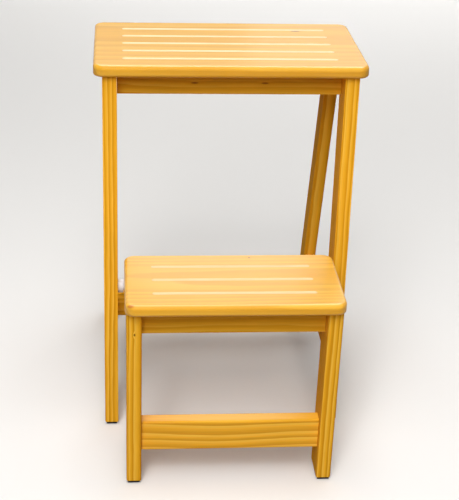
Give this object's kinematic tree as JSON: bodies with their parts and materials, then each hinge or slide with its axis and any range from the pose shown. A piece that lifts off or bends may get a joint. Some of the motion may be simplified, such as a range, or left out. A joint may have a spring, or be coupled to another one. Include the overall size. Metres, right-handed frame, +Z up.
{
  "type": "folding step stool",
  "caption": "Wooden step stool with a lower step that swings up and over on pivot bolts to lie upside down under the seat.",
  "frame": {"origin": "on the floor, under the middle of the open stool's outline", "axes": "+X to the right as seen by someone about to climb, the shortest extent; +Y away from that person, towards the rear legs; +Z up, out of the seat"},
  "size_m": [0.4, 0.6062, 0.603],
  "materials": {
    "pine": "clear warm varnish, satin to gloss",
    "beech": "bare",
    "nylon": "moulded, white",
    "rubber": "matt black",
    "zinc_steel": "bright zinc plate"
  },
  "bodies": {
    "stool_frame": {"top_tread": "pine", "front_leg_left": "pine", "front_leg_right": "pine", "rear_leg_left": "pine", "rear_leg_right": "pine", "front_apron": "pine", "rear_apron": "pine", "side_apron_left": "pine", "side_apron_right": "pine", "side_stretcher_left": "pine", "side_stretcher_right": "pine", "step_rest_rail": "pine", "front_foot_pad_left": "rubber", "front_foot_pad_right": "rubber", "rear_foot_pad_left": "rubber", "rear_foot_pad_right": "rubber", "leg_head_dowel_front_left": "beech", "leg_head_dowel_front_right": "beech", "leg_head_dowel_rear_left": "beech", "leg_head_dowel_rear_right": "beech", "seat_screw_front_left": "zinc_steel", "seat_screw_front_right": "zinc_steel", "seat_screw_rear_left": "zinc_steel", "seat_screw_rear_right": "zinc_steel", "pivot_bolt_left": "zinc_steel", "pivot_bolt_right": "zinc_steel", "pivot_spacer_left": "nylon", "pivot_spacer_right": "nylon", "pivot_washer_left": "zinc_steel", "pivot_washer_right": "zinc_steel", "pivot_nut_left": "zinc_steel", "pivot_nut_right": "zinc_steel"},
    "swing_step": {"step_tread": "pine", "step_leg_left": "pine", "step_leg_right": "pine", "step_apron": "pine", "step_rear_apron": "pine", "step_stretcher": "pine", "step_side_rail_left": "pine", "step_side_rail_right": "pine", "pivot_bush_left": "nylon", "pivot_bush_right": "nylon", "side_rail_dowel_lower_left": "beech", "side_rail_dowel_lower_right": "beech", "side_rail_dowel_upper_left": "beech", "side_rail_dowel_upper_right": "beech", "step_leg_head_dowel_left": "beech", "step_leg_head_dowel_right": "beech", "step_screw_front_left": "zinc_steel", "step_screw_front_right": "zinc_steel", "step_screw_rear_left": "zinc_steel", "step_screw_rear_right": "zinc_steel", "step_foot_pad_left": "rubber", "step_foot_pad_right": "rubber"}
  },
  "joints": [
    {"name": "step_swing", "type": "hinge", "parent": "stool_frame", "child": "swing_step", "pos_m": [0, -0.07512, 0.238], "axis": [-1, 0, 0], "range_deg": [0, 180]}
  ]
}
